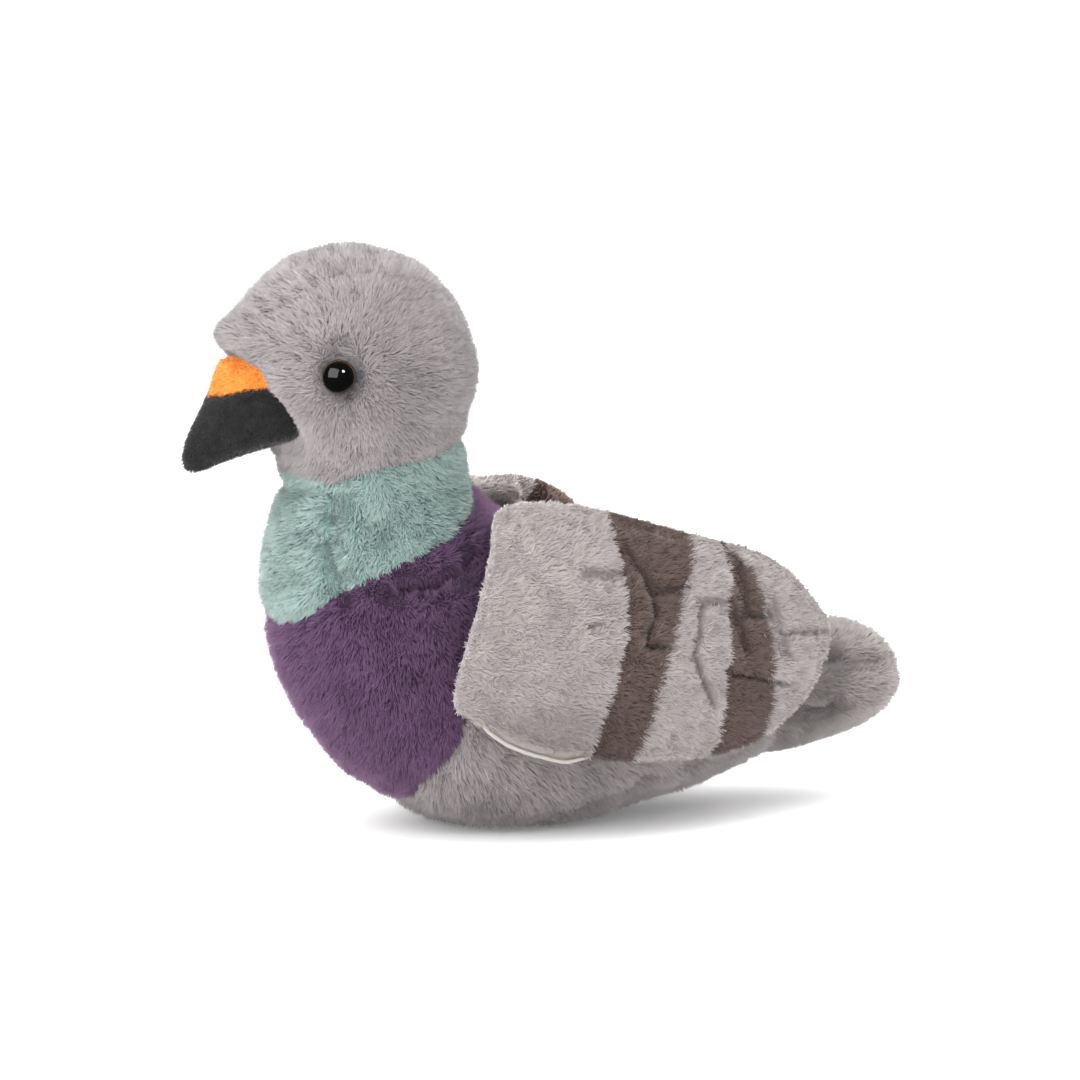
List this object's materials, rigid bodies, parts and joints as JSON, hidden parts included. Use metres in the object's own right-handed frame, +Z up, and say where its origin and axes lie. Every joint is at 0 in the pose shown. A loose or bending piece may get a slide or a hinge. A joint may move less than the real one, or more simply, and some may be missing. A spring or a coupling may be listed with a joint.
{
  "type": "plush pigeon",
  "caption": "Stuffed-toy pigeon resting on its belly: round grey head, teal collar, purple breast, padded barred wings and a blunt tail.",
  "frame": {"origin": "on the floor, on the flat of the belly, under the mirror plane and close to the middle of the bird's length", "axes": "+Z up, the beak towards -Y, the bird's left side towards +X, mirror plane x = 0"},
  "size_m": [0.133, 0.258, 0.1965],
  "materials": {
    "grey_plush": "short dense pile, matt, tips lighter than the roots",
    "wing_plush": "short dense grey pile with two brown bars, quilted",
    "teal_plush": "short dense pile, sea green",
    "purple_plush": "short dense pile, dusky purple",
    "cream_lining": "smooth satin weave",
    "orange_velour": "very short brushed pile",
    "charcoal_velour": "very short brushed pile",
    "eye_plastic": "polished black dome with a deep brown edge"
  },
  "bodies": {
    "root": {"head": "grey_plush", "neck": "teal_plush", "breast": "purple_plush", "trunk": "grey_plush", "tail": "grey_plush", "wing_left": "wing_plush", "wing_right": "wing_plush", "lining_left": "cream_lining", "lining_right": "cream_lining", "cere": "orange_velour", "bill": "charcoal_velour", "eye_left": "eye_plastic", "eye_right": "eye_plastic"}
  },
  "joints": []
}
